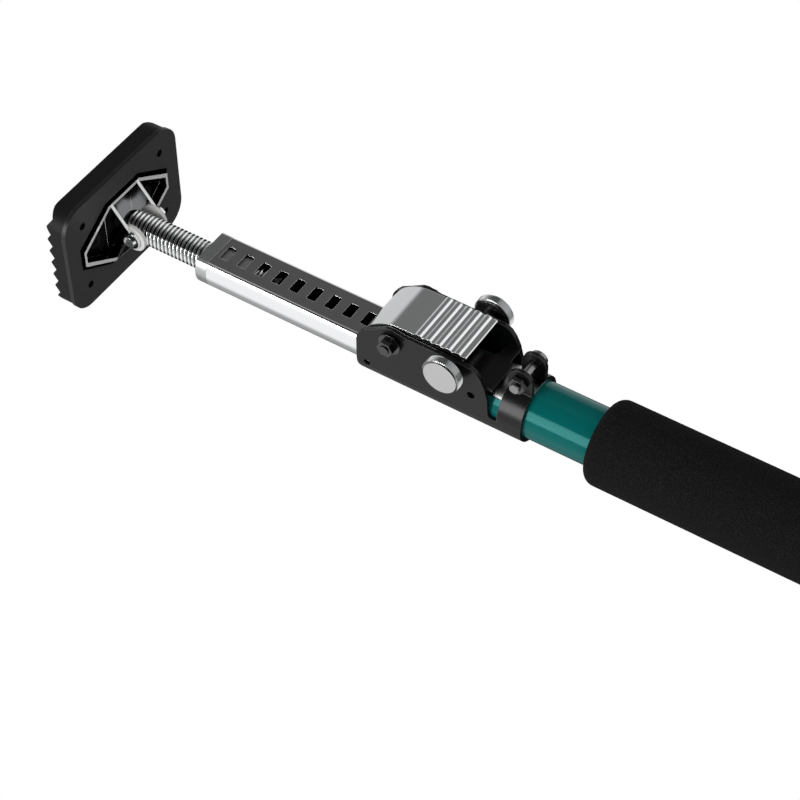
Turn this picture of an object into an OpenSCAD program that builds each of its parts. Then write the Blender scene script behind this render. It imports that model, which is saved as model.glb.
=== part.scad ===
// Telescopic support pole, standing on its foot pad.
// X runs along the cross pins, the locking lever faces -Y and Z runs up to the head.
// The origin is the middle of the foot's sole.
// Places on the lock are given as v, the distance down from the housing's top edge,
// and n, the height above the pole's axis on the lever's side.

/* [Tubes] */
// Outside diameter of the outer tube
outer_d = 30; // [29:0.5:33]
// Wall of the outer tube
outer_wall = 1.2; // [1:0.1:1.4]
// Length of the outer tube
outer_l = 1480; // [1100:10:1800]
// Play between the two tubes, on the radius
tube_play = 0.3; // [0.2:0.05:0.4]
// Wall of the inner tube
inner_wall = 1.2; // [1:0.1:1.4]
// Height of the inner tube's flat above the pole's axis
inner_flat = 7.8; // [7.6:0.1:8.4]
// Round of the two edges of the flat
flat_round = 2.5; // [2:0.1:3]
// How much shorter the inner tube is than the outer one
inner_short = 2; // [0:1:200]

/* [Rack] */
// Distance from slot to slot
rack_pitch = 10.5; // [9:0.5:12]
// Size of a slot along the pole
slot_l = 5; // [4.8:0.1:5.5]
// Size of a slot across the pole
slot_w = 9; // [8:0.5:10]
// Cut corner of a slot
slot_corner = 0.4; // [0.2:0.1:1]
// From the inner tube's top edge to the middle of its first slot
rack_first = 5; // [4:0.5:7]
// Plain length at the inner tube's lower end
rack_plain = 60; // [40:5:120]
// Slots between the first slot and the one under the tooth
slots_out = 9; // [6:1:20]

/* [Housing] */
// Sheet of the lock housing
housing_t = 2.2; // [1.8:0.1:2.6]
// Length of the housing with its clamp band
housing_l = 92; // [91:0.5:100]
// How far the housing stands above the outer tube's end
housing_over = 35; // [33:1:37]
// Height of the side plates behind the lever's pivot
plate_h = 27.7; // [27.4:0.1:29]
// Height of the side plates at the lever's pivot
plate_crest = 29; // [28.5:0.1:31]
// Length of the side plates
plate_l = 74; // [72:0.5:76]
// Length of the clamp band
band_l = 13; // [12:0.5:14]
// Gap between the clamp band's ears
ear_gap = 10.7; // [9:0.1:12]
// Height of the clamp band's ears
ear_h = 29; // [28:0.5:31]
// Thread diameter of the clamp bolt
clamp_bolt_d = 5; // [4:0.5:6]

/* [Lever] */
// Width of the lever
lever_w = 29; // [27:0.5:29.3]
// Sheet of the lever
lever_t = 1.5; // [1.2:0.1:1.8]
// Height of the lever's flat top
lever_top = 30; // [29.5:0.1:31]
// Length of the lever
lever_l = 58; // [55:0.5:60]
// Diameter of the pivot bolt
pivot_d = 5; // [4:0.5:6]
// Distance of the pivot from the housing's top edge
pivot_v = 20; // [19.5:0.1:20.5]
// Height of the pivot above the pole's axis
pivot_n = 20.5; // [20:0.1:21]
// Swing of the lever from its stored pose down into a slot
latch_angle = 5; // [4:0.5:5]
// Number of grip ribs
rib_count = 5; // [3:1:5]

/* [Lock knobs] */
// Diameter of the knurled knobs
knob_d = 20.3; // [17:0.1:22]
// Thickness of a knob's knurled rim
knob_t = 5.5; // [4:0.5:8]
// Gap between a side plate and a knob's rim
knob_gap = 3.55; // [2.5:0.05:6]
// Diameter of the lock shaft
lock_d = 7; // [6:0.5:7.5]
// Distance of the lock shaft from the housing's top edge
lock_v = 52.7; // [52:0.1:54]
// Height of the lock shaft above the pole's axis
lock_n = 23; // [22.5:0.1:23.2]

/* [Threaded rod] */
// Diameter over the thread
rod_d = 15.6; // [14:0.1:15.8]
// Rise of the thread in one turn
rod_pitch = 2.4; // [2:0.1:3]
// Depth of the thread
thread_depth = 1.1; // [0.8:0.1:1.3]
// Length of the rod
rod_l = 98; // [90:1:110]
// Offset of the rod from the pole's axis, away from the flat
rod_offset = 1.7; // [1.6:0.1:2.2]
// From the end plug's top face to the head pin
rod_out = 42.4; // [41:0.2:46]
// Rim of the end plug above the inner tube
plug_rim = 6.5; // [4:0.5:10]
// Body of the end plug inside the inner tube
plug_body = 19.5; // [15:0.5:22]

/* [Pads] */
// Length of a pad, along the swivel pin
pad_l = 92; // [86:1:110]
// Width of a pad
pad_w = 67; // [62:1:80]
// Corner radius of a pad
pad_round = 13; // [9:0.5:13]
// Thickness of a pad's back plate
back_t = 2.5; // [2:0.1:3]
// Thickness of the tread without its ridges
tread_t = 7.3; // [6:0.1:10]
// Height of the ridges
ridge_h = 2.5; // [1.5:0.1:3.5]
// Distance from ridge to ridge
ridge_pitch = 8.2; // [7:0.1:10]
// Diameter of the four screw holes
screw_hole_d = 4.2; // [3:0.1:5]
// Screw holes, middle to middle along the pad
screw_span_l = 64.4; // [60:0.1:66]
// Screw holes, middle to middle across the pad
screw_span_w = 41; // [38:0.1:42]

/* [Swivels] */
// Diameter of a swivel pin
pin_d = 6; // [5:0.1:7]
// Height of a swivel pin above the back plate
pin_h = 12; // [11:0.1:14]
// Sheet of a swivel bracket
bracket_t = 1.8; // [1.5:0.1:2]
// Diameter of the nylon washers
washer_d = 15.5; // [14:0.5:18]
// Thickness of the nylon washers
washer_t = 2; // [1:0.1:2.5]

/* [Grip] */
// Diameter of the foam grip
grip_d = 44; // [40:0.5:50]
// Length of the foam grip
grip_l = 260; // [150:5:400]
// From the clamp band to the grip
grip_gap = 34.3; // [10:0.1:80]
// Round of the grip's ends
grip_round = 5; // [2:0.5:6]

/* [Hidden] */
$fn = 64;
// Overrun of every cut past the face it leaves
cut = 1;
// Clearance of parts that are fixed to each other
fixed_gap = 0.05;
// Clearance of shafts that turn, on the radius
run_gap = 0.05;
// Clearance of neighbours that move past each other
move_gap = 0.3;

// Radii of the tubes
outer_r = outer_d / 2;
bore_r = outer_r - outer_wall;
inner_r = bore_r - tube_play;
inner_l = outer_l - inner_short;

// Heights of the foot: tread, back plate, swivel pin, plug and tube
pad_t = ridge_h + tread_t + back_t;
foot_pin_z = pad_t + pin_h;
foot_neck = 12;
foot_rim = 6;
foot_plug_l = 25;
outer_z0 = foot_pin_z + foot_neck + foot_rim;
outer_z1 = outer_z0 + outer_l;

// Height of the housing's top edge, from which v is counted down
top_z = outer_z1 + housing_over;

// The slot under the tooth, and how far the inner tube stands out above the housing
slot_v = 6.5;
reach = rack_first + slots_out * rack_pitch - slot_v;
inner_z1 = top_z + reach;
inner_z0 = inner_z1 - inner_l;

// Heights of the head
head_pin_z = inner_z1 + plug_rim + rod_out;
head_sole_z = head_pin_z + pin_h + pad_t;

// Widths across the housing
plate_in = outer_r + fixed_gap;
plate_out = plate_in + housing_t;

// Across: a flat shape drawn in v and n, made w wide along X and centred on the pole
module across(w) {
    translate([-w / 2, 0, top_z]) mirror([0, 1, 0]) rotate([0, 90, 0]) linear_extrude(w) children();
}

// A round bar along X from x0 to x1 at the place v, n of the lock
module bar_x(d, x0, x1, v, n) {
    translate([x0, -n, top_z - v]) rotate([0, 90, 0]) cylinder(d = d, h = x1 - x0);
}

// A hexagon along X, flat across af
module hex_x(af, x0, x1, v, n) {
    translate([x0, -n, top_z - v]) rotate([0, 90, 0]) cylinder(d = af / cos(30), h = x1 - x0, $fn = 6);
}

// Section of the inner tube: a round tube with one flat, whose edges are rounded.
// It faces -Y, and shrink takes it in on every side.
module flat_round_shape(shrink) {
    r = inner_r - shrink;
    flat = inner_flat - shrink;
    round_r = flat_round - shrink;
    centre_y = inner_flat - flat_round;
    centre_d = inner_r - flat_round;
    centre_x = sqrt(centre_d * centre_d - centre_y * centre_y);
    touch_y = centre_y * r / centre_d;
    intersection() {
        circle(r);
        translate([-r, -touch_y]) square([2 * r, r + touch_y]);
    }
    translate([-centre_x, -flat]) square([2 * centre_x, flat]);
    for (side = [-1, 1]) {
        translate([side * centre_x, -centre_y]) circle(round_r);
    }
}

// Feet and head: both ends have the same pad, drawn here with its sole at the origin

// Swivel bracket sizes: the tray's floor, its rim and its two ears
tray_mid_share = 0.28;
tray_end_share = 0.76;
tray_width_share = 0.57;
tray_tip_share = 0.15;
tray_mid_l = pad_l * tray_mid_share;
tray_end_l = pad_l * tray_end_share;
tray_mid_w = pad_w * tray_width_share;
tray_tip_w = pad_w * tray_tip_share;
tray_sink = 3.6;
tray_rim_h = 5;
tray_room = 2;
tray_z = pad_t - tray_sink - bracket_t;
rod_r = rod_d / 2;
ear_in = rod_r + washer_t + 2 * fixed_gap;
ear_out = ear_in + bracket_t;
ear_tip_r = 5.2;
ear_root_w = tray_mid_w;
rivet_d = 5;
rivet_head_d = 8;
rivet_head_t = 1.2;
rivet_span = 43;
rivet_sink = 3;
rivet_dimple_d = 3;

// Outline of the tray, with grow added on every side
module tray_outline(grow) {
    offset_l = grow * 0.75;
    polygon([
        for (p = [
            [tray_mid_l / 2 + offset_l / 2, tray_mid_w / 2 + grow],
            [tray_end_l / 2 + offset_l, tray_tip_w / 2 + grow],
            [tray_end_l / 2 + offset_l, -tray_tip_w / 2 - grow],
            [tray_mid_l / 2 + offset_l / 2, -tray_mid_w / 2 - grow],
            [-tray_mid_l / 2 - offset_l / 2, -tray_mid_w / 2 - grow],
            [-tray_end_l / 2 - offset_l, -tray_tip_w / 2 - grow],
            [-tray_end_l / 2 - offset_l, tray_tip_w / 2 + grow],
            [-tray_mid_l / 2 - offset_l / 2, tray_mid_w / 2 + grow]
        ]) p
    ]);
}

// Outline of a pad with its four round corners
module pad_outline(inset) {
    l = pad_l - 2 * inset;
    w = pad_w - 2 * inset;
    r = pad_round - inset;
    square([l - 2 * r, w], center = true);
    square([l, w - 2 * r], center = true);
    for (sx = [-1, 1], sy = [-1, 1]) {
        translate([sx * (l / 2 - r), sy * (w / 2 - r)]) circle(r);
    }
}

module screw_holes(z0, z1) {
    for (sx = [-1, 1], sy = [-1, 1]) {
        translate([sx * screw_span_l / 2, sy * screw_span_w / 2, z0])
            cylinder(d = screw_hole_d, h = z1 - z0);
    }
}

module rivet_places() {
    for (sx = [-1, 1]) {
        translate([sx * rivet_span / 2, 0, 0]) children();
    }
}

// Rubber tread: a slab whose sole has ridges along X, with a flat on each crest
ridge_flat = 0.8;
ridge_count = floor((pad_w / 2) / ridge_pitch);
tread_inset = 0.6;
module tread() {
    color([0.09, 0.09, 0.09]) difference() {
        intersection() {
            linear_extrude(pad_t) pad_outline(tread_inset);
            union() {
                translate([-pad_l / 2, -pad_w / 2, ridge_h]) cube([pad_l, pad_w, tread_t]);
                for (i = [-ridge_count : ridge_count]) {
                    translate([-pad_l / 2, i * ridge_pitch, 0])
                        rotate([90, 0, 90])
                            linear_extrude(pad_l)
                                polygon([
                                    [-ridge_flat / 2, 0], [ridge_flat / 2, 0],
                                    [ridge_pitch / 2, ridge_h], [ridge_pitch / 2, ridge_h + ridge_flat],
                                    [-ridge_pitch / 2, ridge_h + ridge_flat], [-ridge_pitch / 2, ridge_h]
                                ]);
                }
            }
        }
        translate([0, 0, tray_z]) linear_extrude(pad_t) tray_outline(tray_room);
        translate([0, 0, tray_z - rivet_sink]) rivet_places() cylinder(d = rivet_d, h = pad_t);
        screw_holes(-cut, pad_t + cut);
    }
}

module back_plate() {
    color([0.13, 0.13, 0.13]) difference() {
        translate([0, 0, pad_t - back_t]) linear_extrude(back_t) pad_outline(0);
        translate([0, 0, tray_z]) linear_extrude(pad_t) tray_outline(tray_room);
        screw_holes(-cut, pad_t + cut);
    }
}

// One pressed sheet: a six-sided tray with an upturned rim and two ears for the pin
module bracket() {
    rim_z = tray_z + bracket_t + tray_rim_h;
    color([0.8, 0.8, 0.8]) difference() {
        union() {
            difference() {
                translate([0, 0, tray_z]) linear_extrude(bracket_t + tray_rim_h) tray_outline(0);
                translate([0, 0, tray_z + bracket_t])
                    linear_extrude(tray_rim_h + cut) tray_outline(-bracket_t);
            }
            for (side = [0, 1]) {
                mirror([side, 0, 0]) translate([ear_in, 0, 0]) rotate([90, 0, 90])
                    linear_extrude(bracket_t) ear_outline();
            }
        }
        translate([-pad_l / 2, 0, pad_t + pin_h]) rotate([0, 90, 0])
            cylinder(d = pin_d + 2 * run_gap, h = pad_l);
        translate([0, 0, tray_z - cut]) rivet_places() cylinder(d = rivet_d, h = bracket_t + 2 * cut);
    }
}

// Ear of the bracket, drawn in Y and Z: wide on the tray, round about the pin
module ear_outline() {
    base_z = tray_z + bracket_t / 2;
    shoulder_z = tray_z + bracket_t + tray_rim_h;
    pin_z = pad_t + pin_h;
    polygon([
        [-ear_root_w / 2, base_z], [ear_root_w / 2, base_z],
        [ear_root_w / 2, shoulder_z], [ear_tip_r, pin_z], [-ear_tip_r, pin_z],
        [-ear_root_w / 2, shoulder_z]
    ]);
    translate([0, pin_z]) circle(ear_tip_r);
}

module rivets() {
    color([0.3, 0.3, 0.3]) rivet_places() difference() {
        union() {
            translate([0, 0, tray_z - rivet_sink]) cylinder(d = rivet_d, h = bracket_t + rivet_sink);
            translate([0, 0, tray_z + bracket_t]) cylinder(d = rivet_head_d, h = rivet_head_t);
        }
        translate([0, 0, tray_z + bracket_t]) cylinder(d = rivet_dimple_d, h = rivet_head_t + cut);
    }
}

// Swivel pin: a headed rivet pin along X, its far end peened over
pin_head_d = 9;
pin_head_t = 1.6;
pin_peen_d = 8;
module swivel_pin() {
    color([0.75, 0.75, 0.75]) translate([0, 0, pad_t + pin_h]) rotate([0, 90, 0]) {
        translate([0, 0, -ear_out]) cylinder(d = pin_d, h = 2 * ear_out);
        translate([0, 0, -ear_out - pin_head_t]) {
            cylinder(d1 = pin_peen_d - pin_head_t, d2 = pin_peen_d, h = pin_head_t);
        }
        translate([0, 0, ear_out]) cylinder(d = pin_head_d, h = pin_head_t);
    }
}

module swivel_washers() {
    color([0.93, 0.93, 0.91]) for (side = [0, 1]) {
        mirror([side, 0, 0]) translate([rod_r + fixed_gap, 0, pad_t + pin_h]) rotate([0, 90, 0]) difference() {
            cylinder(d = washer_d, h = washer_t);
            translate([0, 0, -cut]) cylinder(d = pin_d + 2 * run_gap, h = washer_t + 2 * cut);
        }
    }
}

// The head's pad is the foot's pad turned over on the head pin
module at_head() {
    translate([0, rod_offset, head_sole_z]) mirror([0, 0, 1]) children();
}

// Foot end: a plain stud in a plug, cross-pinned in the outer tube
stud_over = 10.5;
stud_cone = 3;
stud_floor = 5;
stud_in = foot_rim + foot_plug_l - stud_floor;
plug_pin_d = 4;
plug_pin_z = outer_z0 + foot_plug_l / 2;

module foot_stud() {
    z0 = foot_pin_z - stud_over;
    z1 = foot_pin_z + foot_neck + stud_in;
    color([0.78, 0.78, 0.78]) difference() {
        union() {
            translate([0, 0, z0]) cylinder(d1 = rod_d - 2 * stud_cone, d2 = rod_d, h = stud_cone);
            translate([0, 0, z0 + stud_cone]) cylinder(d = rod_d, h = z1 - z0 - stud_cone);
        }
        translate([-rod_d, 0, foot_pin_z]) rotate([0, 90, 0])
            cylinder(d = pin_d + 2 * run_gap, h = 2 * rod_d);
        translate([-outer_r, 0, plug_pin_z]) rotate([0, 90, 0]) cylinder(d = plug_pin_d, h = outer_d);
    }
}

module foot_plug() {
    z0 = foot_pin_z + foot_neck;
    color([0.55, 0.56, 0.56]) difference() {
        union() {
            translate([0, 0, z0]) cylinder(r = outer_r, h = foot_rim);
            translate([0, 0, z0]) cylinder(r = bore_r - fixed_gap, h = foot_rim + foot_plug_l);
        }
        translate([0, 0, z0 - cut]) cylinder(d = rod_d, h = stud_in + cut);
        translate([-outer_d, 0, plug_pin_z]) rotate([0, 90, 0]) cylinder(d = plug_pin_d, h = 2 * outer_d);
    }
}

module foot_plug_pin() {
    color([0.6, 0.6, 0.6]) translate([-outer_r, 0, plug_pin_z]) rotate([0, 90, 0])
        cylinder(d = plug_pin_d, h = outer_d);
}

// Outer tube, painted, with a cross hole for the foot plug's pin
module outer_tube() {
    color([0.05, 0.42, 0.4]) difference() {
        translate([0, 0, outer_z0]) cylinder(r = outer_r, h = outer_l, $fn = 96);
        translate([0, 0, outer_z0 - cut]) cylinder(r = bore_r, h = outer_l + 2 * cut, $fn = 96);
        translate([-outer_d, 0, plug_pin_z]) rotate([0, 90, 0]) cylinder(d = plug_pin_d, h = 2 * outer_d);
    }
}

// Foam grip: a sleeve with rounded ends
band_v0 = housing_l - band_l;
grip_z1 = top_z - housing_l - grip_gap;
grip_z0 = grip_z1 - grip_l;
module foam_grip() {
    color([0.12, 0.12, 0.12]) rotate_extrude($fn = 96) intersection() {
        union() {
            translate([0, grip_z0]) square([grip_d / 2 - grip_round, grip_l]);
            translate([0, grip_z0 + grip_round]) square([grip_d / 2, grip_l - 2 * grip_round]);
            for (z = [grip_z0 + grip_round, grip_z1 - grip_round]) {
                translate([grip_d / 2 - grip_round, z]) circle(grip_round);
            }
        }
        translate([outer_r + fixed_gap, grip_z0]) square([grip_d, grip_l]);
    }
}

// Mouth bush: a ring on the outer tube's end, and a key that fills the room over the flat
bush_rim = 4;
bush_key_l = 22;
module mouth_bush() {
    color([0.1, 0.1, 0.1]) difference() {
        union() {
            translate([0, 0, outer_z1]) cylinder(r = outer_r, h = bush_rim);
            intersection() {
                translate([0, 0, outer_z1 - bush_key_l])
                    cylinder(r = bore_r - fixed_gap, h = bush_key_l + bush_rim);
                translate([-bore_r, -outer_r, outer_z1 - bush_key_l])
                    cube([2 * bore_r, outer_r - inner_flat, bush_key_l + bush_rim]);
            }
        }
        translate([0, 0, outer_z1 - bush_key_l - cut])
            linear_extrude(bush_key_l + bush_rim + 2 * cut) flat_round_shape(-run_gap * 2);
    }
}

// Housing: one sheet bent to a U round the tube. Its lower end is the clamp band.
corner_r = 12;
front_n = 13;
crest_half = 3;
crest_drop = 0.6;
slope_start_v = 27;
rear_h = 27;
notch_n = -0.5;
notch_r = 2.4;
band_round = 1.5;
arc_steps = 8;
hook_hole_d = 4;
hook_hole_v = 6;
hook_hole_n = -1.8;
side_hole_d = 4.5;
side_hole_v = 64.7;
side_hole_n = 9.6;

// The plate's front edge on its way up to the crest, and its rear edge on its way down.
// Each pair is a share of the way along and a share of the way up.
front_shares = [[0, 0], [0.04, 0.17], [0.12, 0.31], [0.27, 0.5], [0.62, 0.73]];
rear_shares = [[0.28, 1], [0.5, 0.94], [0.68, 0.82], [0.84, 0.64], [0.95, 0.4], [1, 0.1]];
rear_run = 14.5;

function arc_points(cx, cy, r, from, to) =
    [for (i = [0 : arc_steps]) [cx + r * cos(from + (to - from) * i / arc_steps),
                                cy + r * sin(from + (to - from) * i / arc_steps)]];

module housing_side() {
    polygon(concat(
        [for (p = front_shares)
            [p[0] * (pivot_v - crest_half), front_n + p[1] * (plate_crest - crest_drop - front_n)]],
        [[pivot_v - crest_half, plate_crest - crest_drop], [pivot_v, plate_crest],
         [pivot_v + crest_half, plate_crest - crest_drop], [slope_start_v, plate_h]],
        [for (p = rear_shares) [plate_l - rear_run + p[0] * rear_run, p[1] * plate_h]],
        arc_points(plate_l + notch_r, notch_n + notch_r, notch_r, 180, 270),
        [[housing_l, notch_n]],
        arc_points(housing_l - band_round, -plate_out + band_round, band_round, 0, -90),
        arc_points(corner_r, -plate_out + corner_r, corner_r, -90, -180)
    ));
}

// Sheet section of the U: r is its radius under the tube, and the plates rise past the crest
module u_shape(r) {
    circle(r, $fn = 96);
    translate([-r, -plate_crest - cut]) square([2 * r, plate_crest + cut]);
}

ear_r = band_l / 2;
ear_v = housing_l - band_l / 2;
ear_n = ear_h - ear_r;
clamp_n = ear_n;
clamp_hole_d = clamp_bolt_d + 2 * move_gap;
liner_t = 0.5;
liner_w = 24;
liner_v0 = 67;

// Wedge on the lever's side under which the liner lies
module liner_sector(r, w) {
    intersection() {
        circle(r, $fn = 96);
        translate([-w / 2, -r]) square([w, r]);
    }
}

module housing() {
    color([0.11, 0.11, 0.11]) difference() {
        union() {
            intersection() {
                across(2 * plate_out) housing_side();
                translate([0, 0, top_z - housing_l]) linear_extrude(housing_l) difference() {
                    u_shape(plate_out);
                    u_shape(plate_in);
                }
            }
            translate([0, 0, top_z - housing_l]) linear_extrude(band_l) difference() {
                circle(plate_out, $fn = 96);
                circle(plate_in, $fn = 96);
            }
            for (side = [0, 1]) {
                mirror([side, 0, 0]) translate([ear_gap / 2, 0, top_z]) mirror([0, 1, 0])
                    rotate([0, 90, 0]) linear_extrude(housing_t) {
                        translate([band_v0, outer_r - housing_t]) square([band_l, ear_n - outer_r + housing_t]);
                        translate([ear_v, ear_n]) circle(ear_r);
                    }
            }
        }
        translate([-ear_gap / 2, -plate_out - cut, top_z - housing_l - cut])
            cube([ear_gap, plate_out + cut, band_l + 2 * cut]);
        translate([0, 0, top_z - housing_l - cut]) cylinder(r = plate_in, h = housing_l, $fn = 96);
        translate([0, 0, top_z - housing_l - cut])
            linear_extrude(band_l + 2 * cut) liner_sector(plate_in + liner_t + fixed_gap, liner_w + 2 * fixed_gap);
        bar_x(clamp_hole_d, -plate_out, plate_out, ear_v, clamp_n);
        bar_x(pivot_d + 2 * fixed_gap, -plate_out - cut, plate_out + cut, pivot_v, pivot_n);
        bar_x(lock_d + 2 * run_gap, -plate_out - cut, plate_out + cut, lock_v, lock_n);
        bar_x(hook_hole_d, -plate_out - cut, plate_out + cut, hook_hole_v, hook_hole_n);
        bar_x(side_hole_d, -plate_out - cut, plate_out + cut, side_hole_v, side_hole_n);
    }
}

// Liner: a bright steel strip on the tube under the clamp band
module band_liner() {
    color([0.72, 0.72, 0.72]) translate([0, 0, top_z - housing_l]) linear_extrude(housing_l - liner_v0)
        difference() {
            liner_sector(plate_in + liner_t, liner_w);
            circle(plate_in, $fn = 96);
        }
}

// Clamp bolt and nut, through the two ears
clamp_head_d = 9;
clamp_head_t = 3.2;
clamp_nut_af = 8;
clamp_nut_t = 4;
clamp_tail = 2;
ear_face = ear_gap / 2 + housing_t;
module clamp_bolt() {
    color([0.7, 0.7, 0.7]) {
        bar_x(clamp_bolt_d, -ear_face - clamp_nut_t - clamp_tail, ear_face, ear_v, clamp_n);
        bar_x(clamp_head_d, ear_face, ear_face + clamp_head_t, ear_v, clamp_n);
    }
}

module clamp_nut() {
    color([0.15, 0.15, 0.15]) difference() {
        hex_x(clamp_nut_af, -ear_face - clamp_nut_t, -ear_face, ear_v, clamp_n);
        bar_x(clamp_bolt_d, -ear_face - clamp_nut_t - cut, -ear_face + cut, ear_v, clamp_n);
    }
}

// Cross plate: a plate over the tube, welded along the near side plate.
// A tab at its lower end reaches the far side plate.
cross_t = 1.2;
cross_top = 17;
cross_v0 = 38;
cross_gap = 4;
cross_v1 = band_v0 - cross_gap;
cross_x = 5;
cross_tab_l = 7;
cross_tab_chamfer = 3;
cross_tail = 2;
module cross_plate() {
    color([0.1, 0.1, 0.1]) translate([0, cross_t - cross_top, top_z]) rotate([90, 0, 0])
        linear_extrude(cross_t) polygon([
            [-plate_in, -cross_v0], [cross_x, -cross_v0],
            [cross_x, -cross_v1 + cross_tail + cross_tab_l + cross_tab_chamfer],
            [cross_x + cross_tab_chamfer, -cross_v1 + cross_tail + cross_tab_l],
            [plate_in, -cross_v1 + cross_tail + cross_tab_l],
            [plate_in, -cross_v1 + cross_tail], [cross_x, -cross_v1 + cross_tail],
            [cross_x, -cross_v1], [-plate_in, -cross_v1]
        ]);
}

// Pivot bolt, its nut on the near side and the sleeve that spaces the lever's flanges
pivot_af = 8;
pivot_head_t = 3.5;
pivot_nut_t = 4;
pivot_tail = 0.7;
pivot_washer_d = 12;
pivot_washer_t = 2;
pivot_face = plate_out + pivot_washer_t;
sleeve_d = 9;
module pivot_bolt() {
    color([0.12, 0.12, 0.12]) {
        bar_x(pivot_d, -pivot_face - pivot_nut_t - pivot_tail, plate_out, pivot_v, pivot_n);
        hex_x(pivot_af, plate_out, plate_out + pivot_head_t, pivot_v, pivot_n);
    }
}

module pivot_nut() {
    color([0.12, 0.12, 0.12]) difference() {
        hex_x(pivot_af, -pivot_face - pivot_nut_t, -pivot_face, pivot_v, pivot_n);
        bar_x(pivot_d, -pivot_face - pivot_nut_t - cut, -pivot_face + cut, pivot_v, pivot_n);
    }
}

module pivot_washer() {
    color([0.08, 0.08, 0.08]) difference() {
        bar_x(pivot_washer_d, -pivot_face, -plate_out, pivot_v, pivot_n);
        bar_x(pivot_d + 2 * fixed_gap, -pivot_face - cut, -plate_out + cut, pivot_v, pivot_n);
    }
}

flange_in = lever_w / 2 - lever_t;
module pivot_sleeve() {
    half = flange_in - move_gap;
    color([0.7, 0.7, 0.7]) difference() {
        bar_x(sleeve_d, -half, half, pivot_v, pivot_n);
        bar_x(pivot_d + 2 * fixed_gap, -half - cut, half + cut, pivot_v, pivot_n);
    }
}

// Lever spring: a coil of wire round the sleeve, one leg on the cross plate
// and the other under the lever
wire_d = 1.4;
coil_r = 5.9;
coil_turns = 6;
coil_pitch = 2;
wire_sides = 6;
turn_steps = 8;
leg_rest_v = 41;
leg_push_v = 32;
function leg_angle(dv, dn, side) = atan2(dn, dv) + side * acos(coil_r / sqrt(dv * dv + dn * dn));
rest_dv = leg_rest_v - pivot_v;
rest_dn = cross_top + wire_d / 2 + fixed_gap - pivot_n;
push_dv = leg_push_v - pivot_v;
push_dn = lever_top - lever_t - wire_d / 2 - fixed_gap - pivot_n;
rest_angle = leg_angle(rest_dv, rest_dn, 1);
push_angle = leg_angle(push_dv, push_dn, -1);
coil_sweep = coil_turns * 360 + push_angle - rest_angle;
coil_half = coil_turns * coil_pitch / 2;
coil_steps = coil_turns * turn_steps;
coil_path = concat(
    [[-coil_half, rest_dv, rest_dn]],
    [for (i = [0 : coil_steps])
        let (t = i / coil_steps, angle = rest_angle + coil_sweep * t)
        [2 * coil_half * t - coil_half, coil_r * cos(angle), coil_r * sin(angle)]],
    [[coil_half, push_dv, push_dn]]
);

function unit(p) = p / norm(p);
function path_way(path, i) =
    unit(path[min(i + 1, len(path) - 1)] - path[max(i - 1, 0)]);

// A tube of round wire along a path of points [x, v, n] counted from the pivot
module wire(path, d, sides) {
    rings = [for (i = [0 : len(path) - 1])
        let (way = path_way(path, i), side = unit(cross([1, 0, 0], way)), up = cross(way, side))
        [for (k = [0 : sides - 1])
            path[i] + d / 2 * (cos(360 * k / sides) * side + sin(360 * k / sides) * up)]];
    points = [for (ring = rings, p = ring) [p[0], -pivot_n - p[2], top_z - pivot_v - p[1]]];
    last = len(path) - 1;
    faces = concat(
        [[for (k = [0 : sides - 1]) k]],
        [for (i = [0 : last - 1], k = [0 : sides - 1])
            let (a = i * sides + k, b = i * sides + (k + 1) % sides)
            [b, a, a + sides]],
        [for (i = [0 : last - 1], k = [0 : sides - 1])
            let (a = i * sides + k, b = i * sides + (k + 1) % sides)
            [b, a + sides, b + sides]],
        [[for (k = [sides - 1 : -1 : 0]) last * sides + k]]
    );
    polyhedron(points, faces);
}

// Least gap of the wire to itself, measured between points a whole turn or more apart
coil_gap = min([for (i = [0 : len(coil_path) - 1], j = [i + turn_steps - 1 : 1 : len(coil_path) - 1])
    norm(coil_path[i] - coil_path[j])]) - wire_d;
echo(spring_least_gap = coil_gap);

module lever_spring() {
    color([0.6, 0.6, 0.6]) wire(coil_path, wire_d, wire_sides);
}

// Lever: a pressed channel with a curved nose, grip ribs and two flanges on the pivot
nose_v = 2;
nose_n = 16;
arch_v = 24;
arch_run = arch_v - nose_v;
arch_rise = lever_top - nose_n;
arch_r = (arch_run * arch_run + arch_rise * arch_rise) / (2 * arch_rise);
tail_v = nose_v + lever_l;
rib_r = 2.4;
rib_h = 0.9;
rib_pitch = 5.4;
rib_end = 5.1;
flange_l = 42;
boss_r = 6.5;
flange_low_n = 14;
flange_mid_v = 30;
flange_mid_n = 24;
flange_end_n = 25.5;

module arch_disc(r) {
    translate([arch_v, lever_top - arch_r]) circle(r, $fn = 128);
}

module lever_sheet() {
    intersection() {
        difference() {
            arch_disc(arch_r);
            arch_disc(arch_r - lever_t);
        }
        translate([0, nose_n]) square([arch_v, lever_top]);
    }
    translate([arch_v, lever_top - lever_t]) square([tail_v - arch_v - lever_t / 2, lever_t]);
    translate([tail_v - lever_t / 2, lever_top - lever_t / 2]) circle(lever_t / 2);
    intersection() {
        for (i = [0 : rib_count - 1]) {
            translate([tail_v - rib_end - i * rib_pitch, lever_top + rib_h - rib_r]) circle(rib_r);
        }
        translate([arch_v, lever_top - lever_t / 2]) square([tail_v - arch_v, lever_t]);
    }
}

module lever_flange() {
    intersection() {
        union() {
            arch_disc(arch_r - lever_t / 2);
            translate([arch_v, 0]) square([flange_l - nose_v, lever_top - lever_t / 2]);
        }
        polygon([
            [nose_v, flange_low_n], [pivot_v - boss_r, flange_low_n], [pivot_v, pivot_n],
            [pivot_v + boss_r, pivot_n], [flange_mid_v, flange_mid_n],
            [nose_v + flange_l, flange_end_n], [nose_v + flange_l, lever_top], [nose_v, lever_top]
        ]);
    }
    translate([pivot_v, pivot_n]) circle(boss_r);
}

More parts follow.
